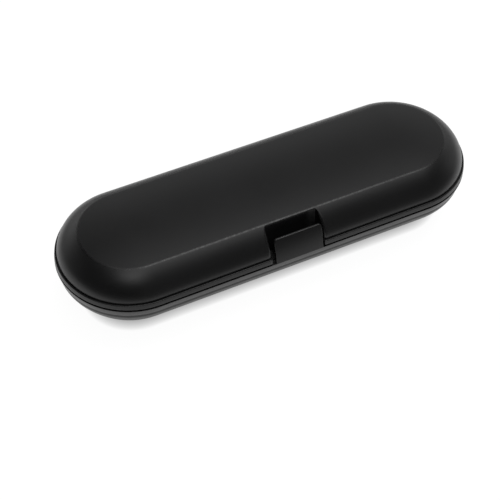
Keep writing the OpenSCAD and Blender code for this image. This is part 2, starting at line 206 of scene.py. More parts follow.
# The glow is darkened close under the case: a painted shadow, for the camera and in reflections.
seen_shade = maths(
    "ADD", maths("MULTIPLY", openness(table, CONTACT_SHADOW), SHADOW_DEPTH), 1 - SHADOW_DEPTH)
mirrored_shade = maths("MULTIPLY", openness(table, MIRRORED_SHADOW), fade)
shade = maths("ADD", maths("MULTIPLY", seen, seen_shade), maths("MULTIPLY", mirrored, mirrored_shade))
glow = table.nodes.new("ShaderNodeEmission")
table.links.new(maths("MULTIPLY", shade, FLOOR_LEVEL), glow.inputs["Strength"])
table_mix = table.nodes.new("ShaderNodeMixShader")
table.links.new(glow_share, table_mix.inputs["Fac"])
table.links.new(table_shader.outputs["BSDF"], table_mix.inputs[1])
table.links.new(glow.outputs["Emission"], table_mix.inputs[2])
table.links.new(table_mix.outputs["Shader"], table.nodes["Material Output"].inputs["Surface"])
floor_mesh.materials.append(table_white)

# ---- Base shell ----
# The lower half of the case, moulded in satin black plastic with a fine grain. Its rim band stands proud of
# the sloped wall, a thin tongue inside the rim guides the lid, and at the back two barrels carry each pin.
base_low, base_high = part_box("base_shell")
END_R = -base_low.y / MM
STRAIGHT = base_high.x / MM - END_R
BASE_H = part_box("latch_tab")[0].z / MM
WALL = 1.8
RIM_H = 3.8
RIM_LEAN = 0.35
RIM_BOW = 1.0
RIM_STEP = 1.1
RIM_Z = BASE_H - RIM_H
RIM_FOOT = END_R - RIM_LEAN - RIM_STEP
RIM_ROWS = 30
UPRIGHT_H = 1.6
ROOT_STEP = 0.05
FOOT_IN = 17.6
FOOT_R = END_R - FOOT_IN
FOOT_TOP = (FOOT_R + 3.2, 2.6)
WALL_BELLY = (FOOT_R + 9.7, 10.8)
FLANGE_T = 2.35
TONGUE_GAP = 0.35
TONGUE_T = 1.1
TONGUE_H = 1.5
TONGUE_R = END_R - FLANGE_T - TONGUE_GAP
TONGUE_ROWS = 26
TONGUE_CUT = 0.02
END_STEPS = 64
STATION_STEP = 4.5

TAB_W = 24.6
RECESS_X = TAB_W / 2 + 1.3
RECESS_WALL = 1.6
RECESS_BACK = 10.7
RECESS_LEAN = 1.5
LANDING_X = RECESS_X + RECESS_WALL + 0.4
LANDING_Y = -END_R + RECESS_BACK - RECESS_LEAN + RECESS_WALL + 0.5

HINGE_X = 42
BARREL_R = 2.3
PIN_R = 0.75
LID_BARREL = 9.4
BASE_BARREL = 7.0
BARREL_GAP = 0.3
NOTCH_R = BARREL_R + 0.35
NOTCH_DEPTH = 2.61
BASE_BARREL_X = (LID_BARREL + BASE_BARREL) / 2 + BARREL_GAP
BASE_BARRELS = [side * HINGE_X + end * BASE_BARREL_X for side in (-1, 1) for end in (-1, 1)]
STOP_R = NOTCH_R + 0.35
STOP_ANGLE = math.radians(121.5)
GUSSET_IN = 2.2
GUSSET_FOOT = 1.2
GUSSET_LOW = -RIM_H - 2.6


def unit(vectors):
    """Vectors scaled to length one, along the last axis."""
    return vectors / np.maximum(np.linalg.norm(vectors, axis=-1, keepdims=True), 1e-12)


def rounded(corners, steps=5):
    """A path through corners (r, z, radius): one with a radius becomes an arc that touches both its sides."""
    path = [np.array(corners[0][:2], float)]
    for before, corner, after in zip(corners, corners[1:], corners[2:]):
        here = np.array(corner[:2], float)
        if not corner[2]:
            path.append(here)
            continue
        back = unit(np.array(before[:2]) - here)
        ahead = unit(np.array(after[:2]) - here)
        half = math.acos(np.clip(back @ ahead, -1, 1)) / 2
        centre = here + unit(back + ahead) * corner[2] / math.sin(half)
        start = here + back * corner[2] / math.tan(half) - centre
        end = here + ahead * corner[2] / math.tan(half) - centre
        sweep = math.pi - 2 * half
        t = np.linspace(0, 1, steps + 1)[:, None]
        path.extend(centre + (np.sin((1 - t) * sweep) * start + np.sin(t * sweep) * end) / math.sin(sweep))
    path.append(np.array(corners[-1][:2], float))
    return np.array(path)


def cubic(points, steps):
    """Points on the cubic curve through four control points, evenly spread in its parameter."""
    t = np.linspace(0, 1, steps + 1)[:, None]
    a, b, c, d = np.array(points, float)
    return (1 - t) ** 3 * a + 3 * (1 - t) ** 2 * t * b + 3 * (1 - t) * t * t * c + t ** 3 * d


def offset(path, distance):
    """The path moved sideways, to the right of its direction, by one distance or by one for each point."""
    ahead = unit(np.gradient(path, axis=0))
    return path + np.reshape(distance, (-1, 1)) * np.stack([ahead[:, 1], -ahead[:, 0]], axis=1)


def fill(path, count):
    """The path with points added in its longest spans until it has count of them."""
    path = np.array(path, float)
    while len(path) < count:
        spans = np.linalg.norm(np.diff(path, axis=0), axis=1)
        k = int(np.argmax(spans))
        path = np.insert(path, k + 1, (path[k] + path[k + 1]) / 2, axis=0)
    assert len(path) == count
    return path


def stadium(stations, half, steps):
    """Columns round a stadium, counter-clockwise from the left end of the front: the stations along both long
    sides and even angles round the ends. For each its place on the centre line and its outward direction."""
    angle = np.linspace(-math.pi / 2, math.pi / 2, steps + 1)[1:-1]
    zero, level = np.zeros_like(stations), np.zeros_like(angle)
    end = np.stack([np.cos(angle), np.sin(angle)], 1)
    place = np.concatenate([
        np.stack([stations, zero], 1), np.stack([level + half, level], 1),
        np.stack([stations[::-1], zero], 1), np.stack([level - half, level], 1)])
    return place, np.concatenate([np.stack([zero, zero - 1], 1), end, np.stack([zero, zero + 1], 1), -end])


def shell_columns(marks, extra=()):
    """Columns round the shell, each with its side: -1 on the front, 1 on the back and 0 round the ends. Marks
    are places along the straight sides that get a double column, so that a profile can change at once."""
    stations = np.linspace(-STRAIGHT, STRAIGHT, int(2 * STRAIGHT / STATION_STEP) + 1)
    fixed = (*marks, *extra)
    singles = [x for x in stations[1:-1] if min(abs(x - m) for m in fixed) > 0.4]
    near_ends = [*extra, *(side * (STRAIGHT - 0.9) for side in (-1, 1))]
    x = np.sort(np.concatenate([singles, near_ends, marks, marks, [-STRAIGHT, STRAIGHT]]))
    place, out = stadium(x, STRAIGHT, END_STEPS)
    return place, out, np.repeat([-1, 0, 1, 0], [len(x), END_STEPS - 1, len(x), END_STEPS - 1])


def doubled(x):
    """For places in order, some given twice: -1 at the first of a pair, 1 at the second, 0 elsewhere."""
    same = np.isclose(x[:-1], x[1:])
    return np.append(0, same * 1) - np.append(same * 1, 0)


def between(x, pair, low, high):
    """Which columns lie between two marks: of a double column only the one on that side counts."""
    return (x > low - 1e-6) & (x < high + 1e-6) & ~(np.isclose(x, low) & (pair == -1)) & ~(
        np.isclose(x, high) & (pair == 1))


def spans(centres, half):
    """The marks to both sides of each centre, at the distance half."""
    return [(x - half, x + half) for x in centres]


def sweep(place, out, profile):
    """A grid of points: each column's profile of (r, z), set off from its place on the centre line by r."""
    r, z = profile[..., 0], profile[..., 1]
    level = place[None] + out[None] * r[..., None]
    return np.concatenate([level, z[..., None]], axis=2)


def grid_faces(rows, columns, wrap=True):
    """Quads of a grid whose columns close on themselves: each face turns the same way as row then column."""
    index = np.arange(rows * columns).reshape(rows, columns)
    if wrap:
        index = np.concatenate([index, index[:, :1]], axis=1)
    return np.stack([index[:-1, :-1], index[:-1, 1:], index[1:, 1:], index[1:, :-1]], axis=2).reshape(-1, 4)


def grid(points, wrap=True):
    """A grid of points as one part: its points and its faces."""
    return points.reshape(-1, 3), grid_faces(*points.shape[:2], wrap).tolist()


def inset(outline, distance):
    """A closed outline moved inwards, each corner along the line that halves it."""
    before = unit(outline - np.roll(outline, 1, axis=0))
    after = unit(np.roll(outline, -1, axis=0) - outline)
    left = np.stack([-(before + after)[:, 1], (before + after)[:, 0]], axis=1)
    scale = 1 / np.maximum(np.linalg.norm(before + after, axis=1, keepdims=True) / 2, 0.4)
    return outline + unit(left) * distance * scale


def block(outline, low, high, edge=0.2):
    """A closed body: an outline of (y, z), counter-clockwise seen from +X, between two x, its ends eased."""
    outline = np.array(outline, float)
    small = inset(outline, edge)
    points = []
    for x, ring in ((low, small), (low + edge, outline), (high - edge, outline), (high, small)):
        points.append(np.insert(ring, 0, x, axis=1))
    count = len(outline)
    faces = grid_faces(4, count).tolist() + [list(range(count))[::-1], list(range(3 * count, 4 * count))]
    return np.concatenate(points), faces


def tube(outline, bore, centre, low, high, edge=0.25):
    """A barrel with a bore: radii of the outline and the bore at even angles about an axis along X. The ends
    ease into the outline and into the bore, and the surface closes on itself."""
    angle = np.linspace(0, 2 * math.pi, len(outline), endpoint=False)
    rings = [(low + edge, outline), (high - edge, outline), (high, outline - edge), (high, bore + edge / 2),
             (high - edge / 2, bore), (low + edge / 2, bore), (low, bore + edge / 2), (low, outline - edge),
             (low + edge, outline)]
    rows = []
    for x, radius in rings:
        y, z = centre[0] + radius * np.cos(angle), centre[1] + radius * np.sin(angle)
        rows.append(np.stack([np.full(len(angle), x), y, z], axis=1))
    return grid(np.array(rows))


EDGE_CURVE = 0.1
SHORTEST_SPAN = 0.02


def mark_edges(mesh):
    """Writes how tightly the surface bends outwards at each point, from 0 to 1, as the attribute "edge": the
    angle between two faces over the distance of their centres, in steps of EDGE_CURVE radians a millimetre,
    less one."""
    normal = np.zeros(len(mesh.polygons) * 3)
    centre = np.zeros(len(mesh.polygons) * 3)
    mesh.polygons.foreach_get("normal", normal)
    mesh.polygons.foreach_get("center", centre)
    normal, centre = normal.reshape(-1, 3), centre.reshape(-1, 3)
    totals = np.zeros(len(mesh.polygons), int)
    mesh.polygons.foreach_get("loop_total", totals)
    edges = np.zeros(len(mesh.loops), int)
    mesh.loops.foreach_get("edge_index", edges)
    owner = np.repeat(np.arange(len(totals)), totals)
    order = np.argsort(edges, kind="stable")
    edges, owner = edges[order], owner[order]
    pair = np.flatnonzero(edges[:-1] == edges[1:])
    one, two = owner[pair], owner[pair + 1]
    turn = np.arccos(np.clip((normal[one] * normal[two]).sum(1), -1, 1))
    turn *= ((centre[two] - centre[one]) * normal[one]).sum(1) < 0
    turn /= np.maximum(np.linalg.norm(centre[two] - centre[one], axis=1), SHORTEST_SPAN * MM)
    ends = np.zeros(len(mesh.edges) * 2, int)
    mesh.edges.foreach_get("vertices", ends)
    ends = ends.reshape(-1, 2)[edges[pair]]
    value = np.zeros(len(mesh.vertices))
    np.maximum.at(value, ends.ravel(), np.repeat(turn, 2))
    field = mesh.attributes.new("edge", "FLOAT", "POINT")
    field.data.foreach_set("value", np.clip(value * MM / EDGE_CURVE - 1, 0, 1).astype(np.float32))


def piece(name, parts, body, material, node=None, sharp=32):
    """One object from parts of points in millimetres and faces: merged, its edges marked, joined to body."""
    points, faces, start = [], [], 0
    for part_points, part_faces in parts:
        points.append(part_points)
        faces += [[v + start for v in face] for face in part_faces]
        start += len(part_points)
    mesh = bpy.data.meshes.new(name)
    mesh.from_pydata((np.concatenate(points) * MM).tolist(), [], faces)
    tidy = bmesh.new()
    tidy.from_mesh(mesh)
    bmesh.ops.remove_doubles(tidy, verts=tidy.verts, dist=2e-6)
    bmesh.ops.dissolve_degenerate(tidy, edges=tidy.edges, dist=1e-7)
    tidy.to_mesh(mesh)
    tidy.free()
    mesh.shade_smooth()
    mesh.set_sharp_from_angle(angle=math.radians(sharp))
    mark_edges(mesh)
    mesh.materials.append(material)
    item = bpy.data.objects.new(name, mesh)
    bpy.context.scene.collection.objects.link(item)
    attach(item, body)
    if node:
        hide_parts(node)
    return item


PLASTIC_IOR = 1.42
GRAIN_DEPTH = 0.00004


def noise(place, scale, detail):
    """Noise over the given place, from 0 to 1."""
    texture = place.id_data.nodes.new("ShaderNodeTexNoise")
    texture.inputs["Scale"].default_value = scale
    texture.inputs["Detail"].default_value = detail
    place.id_data.links.new(place, texture.inputs["Vector"])
    return texture.outputs["Fac"]


def moulded_plastic(name, color, roughness, grain, polish):
    """Moulded plastic: a fine even grain, slow patches of a little more gloss, and edges polished by use,
    whose colour is also lightened there as a painted highlight.
    """
    material, tree, shader = new_material(name)
    shader.inputs["IOR"].default_value = PLASTIC_IOR
    place = tree.nodes.new("ShaderNodeTexCoord").outputs["Object"]
    edge = tree.nodes.new("ShaderNodeAttribute")
    edge.attribute_name = "edge"
    wear_and_highlight = maths("MULTIPLY", edge.outputs["Fac"], span(noise(place, 420, 3), 0.42, 0.62, 0.25, 1))
    patches = span(noise(place, 34, 2), 0.3, 0.7, roughness - 0.02, roughness + 0.03)
    speckle = span(noise(place, 900, 2), 0.35, 0.65, -0.012, 0.012)
    polished = maths("SUBTRACT", maths("ADD", patches, speckle), maths("MULTIPLY", wear_and_highlight, polish))
    tree.links.new(polished, shader.inputs["Roughness"])
    # The colour is lightened on sharp outward edges: a painted highlight along them, beside the real polish.
    painted_edge_highlight = tree.nodes.new("ShaderNodeMix")
    painted_edge_highlight.data_type = "RGBA"
    painted_edge_highlight.inputs["A"].default_value = (*color, 1)
    painted_edge_highlight.inputs["B"].default_value = (*(c * 1.7 + 0.004 for c in color), 1)
    tree.links.new(maths("MULTIPLY", wear_and_highlight, 0.35), painted_edge_highlight.inputs["Factor"])
    tree.links.new(painted_edge_highlight.outputs["Result"], shader.inputs["Base Color"])
    bump = tree.nodes.new("ShaderNodeBump")
    bump.inputs["Strength"].default_value = grain
    bump.inputs["Distance"].default_value = GRAIN_DEPTH
    tree.links.new(noise(place, 4200, 3), bump.inputs["Height"])
    tree.links.new(bump.outputs["Normal"], shader.inputs["Normal"])
    return material


shell_black = moulded_plastic("satin_black_plastic", (0.008, 0.008, 0.0083), 0.35, 0.22, 0.15)

# The profile runs from the middle of the underside up the wall, round the rim and the tongue, and back down
# inside to the middle of the floor.
upright_end = (RIM_FOOT + ROOT_STEP, RIM_Z - UPRIGHT_H)
base_wall = np.concatenate([[(RIM_FOOT, RIM_Z)], cubic([
    upright_end, (upright_end[0], upright_end[1] - 2.8), WALL_BELLY, FOOT_TOP], 40)])
foot_round = cubic([FOOT_TOP, (FOOT_R + 1.9, 0.9), (FOOT_R + 1.1, 0), (FOOT_R, 0)], 10)
outside = np.concatenate([base_wall, foot_round[1:]])
within = offset(outside, WALL)
within = within[within[:, 1] > WALL]

under = np.concatenate([[[0, 0], [FOOT_R - 1, 0]], outside[::-1]])
rim_plain = fill(rounded([
    (RIM_FOOT, RIM_Z, 0), (RIM_FOOT + ROOT_STEP, RIM_Z, 0), (END_R - RIM_BOW, RIM_Z, 0.1),
    (END_R - 0.46 * RIM_BOW, BASE_H - 0.5 * RIM_H, 1.0), (END_R, BASE_H, 0.12),
    (TONGUE_R, BASE_H, 0.15), (TONGUE_R, BASE_H + TONGUE_H, 0)])[1:-1], RIM_ROWS)
notch_turn = np.linspace(math.asin(NOTCH_DEPTH / NOTCH_R), 0, 18)
rim_notch = fill(np.concatenate([
    [(RIM_FOOT + ROOT_STEP, RIM_Z)],
    np.stack([END_R - NOTCH_R * np.cos(notch_turn), BASE_H - NOTCH_R * np.sin(notch_turn)], 1),
    [(TONGUE_R, BASE_H)]]), RIM_ROWS)
inner_foot = (TONGUE_R - TONGUE_T, RIM_Z)
tongue_plain = fill(rounded([
    (TONGUE_R, BASE_H, 0), (TONGUE_R, BASE_H + TONGUE_H, 0.4), (TONGUE_R - TONGUE_T, BASE_H + TONGUE_H, 0.3),
    (*inner_foot, 0.6), tuple(within[2])])[1:], TONGUE_ROWS)
tongue_cut = fill(rounded([
    (TONGUE_R, BASE_H, 0), (TONGUE_R - TONGUE_T - TONGUE_CUT, BASE_H, 0.3),
    (inner_foot[0] - TONGUE_CUT, inner_foot[1], 0.6),
    (within[2, 0] - TONGUE_CUT, within[2, 1])])[1:], TONGUE_ROWS)
floor_path = np.concatenate([within[3:], [[FOOT_R - 1, WALL], [0, WALL]]])

hinge_spans = spans((-HINGE_X, HINGE_X), LID_BARREL / 2 + BARREL_GAP)
base_marks = sorted({-LANDING_X, LANDING_X, *(x for span_ends in hinge_spans for x in span_ends)})
place, out, side = shell_columns(base_marks)
pair = doubled(place[:, 0]) * np.where(side > 0, -1, 1)
profile = np.repeat(np.concatenate([under, rim_plain, tongue_plain, floor_path])[:, None], len(place), axis=1)
rim_rows = slice(len(under), len(under) + RIM_ROWS)
tongue_rows = slice(rim_rows.stop, rim_rows.stop + TONGUE_ROWS)
front, back = side < 0, side > 0
profile[tongue_rows, front & between(place[:, 0], pair, -LANDING_X, LANDING_X)] = tongue_cut[:, None]
for low, high in hinge_spans:
    profile[rim_rows, back & between(place[:, 0], pair, low, high)] = rim_notch[:, None]
base_parts = [grid(sweep(place, out, profile))]

# Four hinge barrels, each with a gusset that carries it and that the lid's barrel stops against.
BARREL_STEPS = 96
barrel_angle = np.linspace(0, 2 * math.pi, BARREL_STEPS, endpoint=False)


def reach(corners):
    """How far a closed outline round the hinge axis reaches: the farthest crossing of each even angle's ray
    with the outline's sides, and at least the barrel's radius."""
    ray = np.stack([np.cos(barrel_angle), np.sin(barrel_angle)], 1)
    best = np.full(BARREL_STEPS, BARREL_R)
    for a, b in zip(corners, corners[1:] + corners[:1]):
        a, d = np.array(a), np.array(b) - np.array(a)
        cross = ray[:, 0] * d[1] - ray[:, 1] * d[0]
        safe = np.where(abs(cross) < 1e-9, 1, cross)
        along = (a[0] * d[1] - a[1] * d[0]) / safe
        share = (a[0] * ray[:, 1] - a[1] * ray[:, 0]) / safe
        hit = (abs(cross) > 1e-9) & (along > 0) & (share > -1e-6) & (share < 1 + 1e-6)
        best = np.where(hit, np.maximum(best, along), best)
    return best


base_gusset = reach([
    (-GUSSET_IN, 0), (0, 0), (STOP_R * math.sin(STOP_ANGLE), STOP_R * math.cos(STOP_ANGLE)),
    (-GUSSET_FOOT, GUSSET_LOW), (-GUSSET_IN, GUSSET_LOW)])
for x in BASE_BARRELS:
    base_parts.append(tube(
        base_gusset, np.full(BARREL_STEPS, PIN_R), (END_R, BASE_H), x - BASE_BARREL / 2, x + BASE_BARREL / 2))

# Eight ribs that the tray lies on.
DECK_Z = BASE_H - 2.4
TRAY_T = 1.3
TRAY_R = TONGUE_R - TONGUE_T - 0.6
RIB_T = 1.6
RIB_X = (LANDING_X + 8.4, STRAIGHT - 8)
RIB_LENGTH = 4.2
POST_X = STRAIGHT + END_R - 10.5
POST_R = 2.4
SHANK_R = 1.2
STAKE_HEAD = ((1.9, 0), (2.1, 0.12), (2.05, 0.35), (1.75, 0.65), (1.2, 0.8), (0, 0.8))
mid_wall = offset(outside, WALL / 2)[::-1]
rib_run = mid_wall[(mid_wall[:, 0] > TRAY_R - RIB_LENGTH) & (mid_wall[:, 1] < DECK_Z - TRAY_T)]
back_rib = np.concatenate([
    [(rib_run[0, 0], DECK_Z - TRAY_T)], rib_run, [(rib_run[-1, 0], DECK_Z - TRAY_T)]])
front_rib = back_rib[::-1] * (-1, 1)
for x in (end * rib_x for end in (-1, 1) for rib_x in RIB_X):
    for rib in (front_rib, back_rib):
        base_parts.append(block(rib, x - RIB_T / 2, x + RIB_T / 2))

# The landing below the lid's thumb recess, on two gussets.
LANDING_TOP = BASE_H - 0.3
LANDING_T = 1.4
LANDING_FRONT = -END_R + 0.7
LANDING_GUSSET_H = 11
LANDING_GUSSET_X = RECESS_X - 2
base_parts.append(block([
    (LANDING_FRONT, LANDING_TOP - LANDING_T), (LANDING_Y, LANDING_TOP - LANDING_T), (LANDING_Y, LANDING_TOP),
    (LANDING_FRONT, LANDING_TOP)], -LANDING_X, LANDING_X))
gusset_run = mid_wall[::-1]
gusset_run = gusset_run[(gusset_run[:, 1] > LANDING_TOP - LANDING_GUSSET_H)] * (-1, 1)
landing_gusset = np.concatenate([
    [(gusset_run[0, 0], LANDING_TOP - 1)], gusset_run, [(LANDING_Y - 0.6, LANDING_TOP - 1)]])
for x in (-LANDING_GUSSET_X, LANDING_GUSSET_X):
    base_parts.append(block(landing_gusset, x - RIB_T / 2, x + RIB_T / 2))


def turned(rows, x, steps=40):
    """A body turned about an upright axis at x on the centre line, from rows of (radius, height)."""
    angle = np.linspace(0, 2 * math.pi, steps, endpoint=False)
    rows = np.repeat(np.array(rows, float)[:, None], steps, axis=1)
    return sweep(np.repeat([[x, 0.0]], steps, axis=0), np.stack([np.cos(angle), np.sin(angle)], 1), rows)


# Two posts, each with a stake through the tray and a head melted over it.
for x in (-POST_X, POST_X):
    post = turned([
        (0, 0), (POST_R, 0), (POST_R, DECK_Z - TRAY_T), (SHANK_R, DECK_Z - TRAY_T), (SHANK_R, DECK_Z),
        *((r, DECK_Z + rise) for r, rise in STAKE_HEAD)], x)
    from_end = np.hypot(abs(post[:2, :, 0]) - STRAIGHT, post[:2, :, 1])
    post[:2, :, 2] = np.interp(from_end, mid_wall[:, 0], mid_wall[:, 1])
    base_parts.append(grid(post))

piece("base_shell_moulding", base_parts, "base", shell_black, "base_shell")

# ---- Lid shell ----
# The upper half, moulded in the same plastic. An upright flange and a narrow ledge run round its foot, the
# wall rises convex to a soft crease, and the top is slightly domed. A thumb recess is let into the front.
TOTAL_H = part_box("lid_shell")[1].z / MM
FLANGE_H = 3.7
FLANGE_LEAN = 0.3
FLANGE_TOP_R = 0.3
REVEAL_H = 1.15
REVEAL_D = 1.3
LEDGE_W = 1.25
LEDGE_Z = BASE_H + FLANGE_H
GROOVE_W = 0.2
GROOVE_D = 0.3
WALL_FOOT = END_R - LEDGE_W
CREASE_IN = 11.4
DOME_RISE = 1.9
CREASE_R = END_R - CREASE_IN
CREASE_Z = TOTAL_H - DOME_RISE
CREASE_SOFT = 0.55
CORNER_R = 1.2
EDGE_R = 1.6
FLANGE_EDGE_R = 0.7
TOP_EDGE_R = 0.4
DOME_IN_ROWS = 14
WALL_IN_ROWS = 24
FLANGE_ROWS = 30
LOWER_ROWS = 46
UPPER_ROWS = 14
DOME_ROWS = 18
BEND = 4


def even(path, count):
    """The path again as count points at even distances along it."""
    length = np.append(0, np.cumsum(np.linalg.norm(np.diff(path, axis=0), axis=1)))
    at = np.linspace(0, length[-1], count)
    return np.stack([np.interp(at, length, path[:, 0]), np.interp(at, length, path[:, 1])], axis=1)


def dome(r, drop=0.0):
    """Points on the domed top: its height falls with the square of the distance from the centre line."""
    r = np.asarray(r, float)
    return np.stack([r, TOTAL_H - drop - DOME_RISE * (r / CREASE_R) ** 2], axis=-1)


def soften(path, corner, distance, steps=2 * BEND + 1):
    """The path with its bend at a corner replaced by a parabola between the points a distance before and
    after it, and the place in the new path where the parabola's middle is."""
    length = np.append(0, np.cumsum(np.linalg.norm(np.diff(path, axis=0), axis=1)))
    middle = length[np.argmin(np.linalg.norm(path - corner, axis=1))]
    start, end = (np.array([np.interp(at, length, path[:, k]) for k in (0, 1)])
                  for at in (middle - distance, middle + distance))
    t = np.linspace(0, 1, steps)[:, None]
    bend = (1 - t) ** 2 * start + 2 * (1 - t) * t * corner + t * t * end
    before = path[length < middle - distance - 1e-6]
    return np.concatenate([before, bend, path[length > middle + distance + 1e-6]]), len(before) + steps // 2


def back_wall(z, shift):
    """How far forward the recess's back wall stands at height z, when it is moved forward by shift."""
    return END_R - RECESS_BACK + RECESS_LEAN * (CREASE_Z - z) / (CREASE_Z - BASE_H) + shift


wall_curve = cubic([
    (WALL_FOOT, LEDGE_Z), (WALL_FOOT + 0.18, LEDGE_Z + 4.9), (CREASE_R + 5.3, CREASE_Z - 2.4),
    (CREASE_R, CREASE_Z)], 400)
crest = dome(np.linspace(CREASE_R, 0, 300))[1:]
outer, _ = soften(np.concatenate([wall_curve, crest]), wall_curve[-1], CREASE_SOFT, 25)
crease_end = int(np.argmax(outer[:, 0] < CREASE_R - CREASE_SOFT + 0.02))


def cut_at(shift):
    """Where the back wall meets the outside: the next point of the outer path, and the place itself."""
    over = outer[:, 0] - back_wall(outer[:, 1], shift)
    k = int(np.argmax(over < 0))
    return k, outer[k - 1] + over[k - 1] / (over[k - 1] - over[k]) * (outer[k] - outer[k - 1])


def inside_rows(recess):
    """Rows of the inner skin from the crown to the lid's foot: plain, or with the recess's wall in it."""
    if recess:
        foot = back_wall(BASE_H, -RECESS_WALL)
        top = back_wall(CREASE_Z - WALL, -RECESS_WALL)
        wall = np.linspace(dome(top, WALL), (foot, BASE_H), WALL_IN_ROWS + 3)[1:]
        return np.concatenate([dome(np.linspace(0, top, DOME_IN_ROWS), WALL), wall])
    wall = offset(wall_curve, -WALL)[::-1]
    wall = wall[(wall[:, 0] > CREASE_R - 0.6) & (wall[:, 0] < END_R - FLANGE_T - 0.3)]
    return np.concatenate([
        dome(np.linspace(0, CREASE_R - 0.9, DOME_IN_ROWS), WALL), even(wall, WALL_IN_ROWS),
        [(END_R - FLANGE_T, LEDGE_Z - 0.8), (END_R - FLANGE_T, BASE_H)]])


# Three profiles, each from the crown's inside down to the foot and up the outside to the crown: plain,
# notched for the base's barrels, and through the recess.
ledge_corners = [
    (END_R - FLANGE_LEAN, LEDGE_Z, FLANGE_TOP_R), (WALL_FOOT + GROOVE_W, LEDGE_Z, 0.12),
    (WALL_FOOT + GROOVE_W, LEDGE_Z - GROOVE_D, 0), (WALL_FOOT, LEDGE_Z - GROOVE_D, 0),
    (WALL_FOOT, LEDGE_Z, 0)]
flange = fill(rounded([
    (END_R - FLANGE_T, BASE_H, 0), (END_R - REVEAL_D, BASE_H, 0.12), (END_R - REVEAL_D, BASE_H + REVEAL_H, 0),
    (END_R, BASE_H + REVEAL_H, 0.15), *ledge_corners], 4)[1:-1], FLANGE_ROWS)
notch_turn = np.linspace(math.acos(FLANGE_T / NOTCH_R), math.pi / 2, 16)
flange_notch = fill(np.concatenate([
    np.stack([END_R - NOTCH_R * np.cos(notch_turn), BASE_H + NOTCH_R * np.sin(notch_turn)], 1),
    rounded([(END_R, BASE_H + NOTCH_R, 0), *ledge_corners], 4)[1:-1]]), FLANGE_ROWS)
cut_row, cut_point = cut_at(CORNER_R)
lower = even(np.concatenate([outer[:cut_row], [cut_point]]), LOWER_ROWS)
upper = even(np.concatenate([[cut_point], outer[cut_row:crease_end]]), UPPER_ROWS + 1)[1:]
crown = even(outer[crease_end:], DOME_ROWS)
plain_inside = inside_rows(False)
recess_inside = inside_rows(True)
plain = np.concatenate([plain_inside, flange, lower, upper, crown])
notch_inside = plain_inside.copy()
notch_inside[-1] = flange_notch[0]
notched = np.concatenate([notch_inside, flange_notch, lower, upper, crown])


def edge_rows(s):
    """The profile at a distance s beside the recess, where the outside rounds over into its side wall."""
    radius = np.concatenate([
        np.full(FLANGE_ROWS, FLANGE_EDGE_R),
        TOP_EDGE_R + (EDGE_R - TOP_EDGE_R) * (1 - np.clip(np.linspace(-1.6, 1, LOWER_ROWS), 0, 1) ** 2),
        TOP_EDGE_R * np.clip(1 - np.arange(1, UPPER_ROWS + 1) / 4, 0, 1) ** 2])
    side = np.clip(radius - s, 0, None)
    depth = radius - np.sqrt(np.clip(radius ** 2 - side ** 2, 0, None))
    rows = np.concatenate([flange, lower, upper])
    moved = offset(rows, -depth)
    moved[:FLANGE_ROWS] = rows[:FLANGE_ROWS] - depth[:FLANGE_ROWS, None] * (1, 0)
    at_foot = flange[:, 0] < WALL_FOOT + 0.01
    moved[:FLANGE_ROWS][at_foot & (flange[:, 1] > LEDGE_Z - GROOVE_D - 0.01), 0] = moved[FLANGE_ROWS, 0]
    return np.concatenate([recess_inside, moved, crown])


def recess_rows(shift):
    """The profile in the recess: under its back wall, up it, over a small round at its top, to the crown."""
    k, top = cut_at(shift)
    foot = np.array([back_wall(BASE_H, shift), BASE_H])
    wall = foot + np.linspace(0, 1, 300)[:, None] * (top - foot)
    path, middle = soften(np.concatenate([wall, outer[k:crease_end]]), top, TOP_EDGE_R)
    low = wall[wall[:, 1] < LEDGE_Z]
    high = path[(path[:, 1] >= LEDGE_Z) & (np.arange(len(path)) < middle - BEND)]
    return np.concatenate([
        recess_inside, even(low, FLANGE_ROWS), even(high, LOWER_ROWS - BEND - 1),
        path[middle - BEND:middle + BEND + 1], even(path[middle + BEND + 1:], UPPER_ROWS - BEND), crown])


side_steps = RECESS_X + np.array([0.12, 0.28, 0.48, 0.7, 0.95, 1.25])
corner_turn = np.linspace(0, math.pi / 2, 9)
corner_steps = RECESS_X - CORNER_R + CORNER_R * np.sin(corner_turn[:-1])
notch_spans = spans(BASE_BARRELS, BASE_BARREL / 2 + BARREL_GAP)
lid_marks = sorted({
    -RECESS_X - RECESS_WALL, -RECESS_X, RECESS_X, RECESS_X + RECESS_WALL,
    *(x for span_ends in notch_spans for x in span_ends)})
place, out, side = shell_columns(lid_marks, [s * x for s in (-1, 1) for x in (*side_steps, *corner_steps)])
pair = doubled(place[:, 0]) * np.where(side > 0, -1, 1)
profile = np.repeat(plain[:, None], len(place), axis=1)
front, back = side < 0, side > 0
for k in np.flatnonzero(front & between(place[:, 0], pair, -RECESS_X - RECESS_WALL, RECESS_X + RECESS_WALL)):
    profile[:, k] = edge_rows(abs(place[k, 0]) - RECESS_X)
for k in np.flatnonzero(front & between(place[:, 0], pair, -RECESS_X, RECESS_X)):
    over = np.clip(abs(place[k, 0]) - RECESS_X + CORNER_R, 0, CORNER_R)
    profile[:, k] = recess_rows(CORNER_R - math.sqrt(CORNER_R ** 2 - over ** 2))
for low, high in notch_spans:
    profile[:, back & between(place[:, 0], pair, low, high)] = notched[:, None]
lid_parts = [grid(sweep(place, out, profile))]

# Two hinge barrels with their gussets.
PIN_PLAY = 0.05
lid_gusset = reach([(-1, 0), (BARREL_R, 0), (BARREL_R, 1.1), (0, FLANGE_H - 0.35), (-1, FLANGE_H - 0.35)])
for x in (-HINGE_X, HINGE_X):
    lid_parts.append(tube(
        lid_gusset, np.full(BARREL_STEPS, PIN_R + PIN_PLAY), (END_R, BASE_H), x - LID_BARREL / 2,
        x + LID_BARREL / 2))

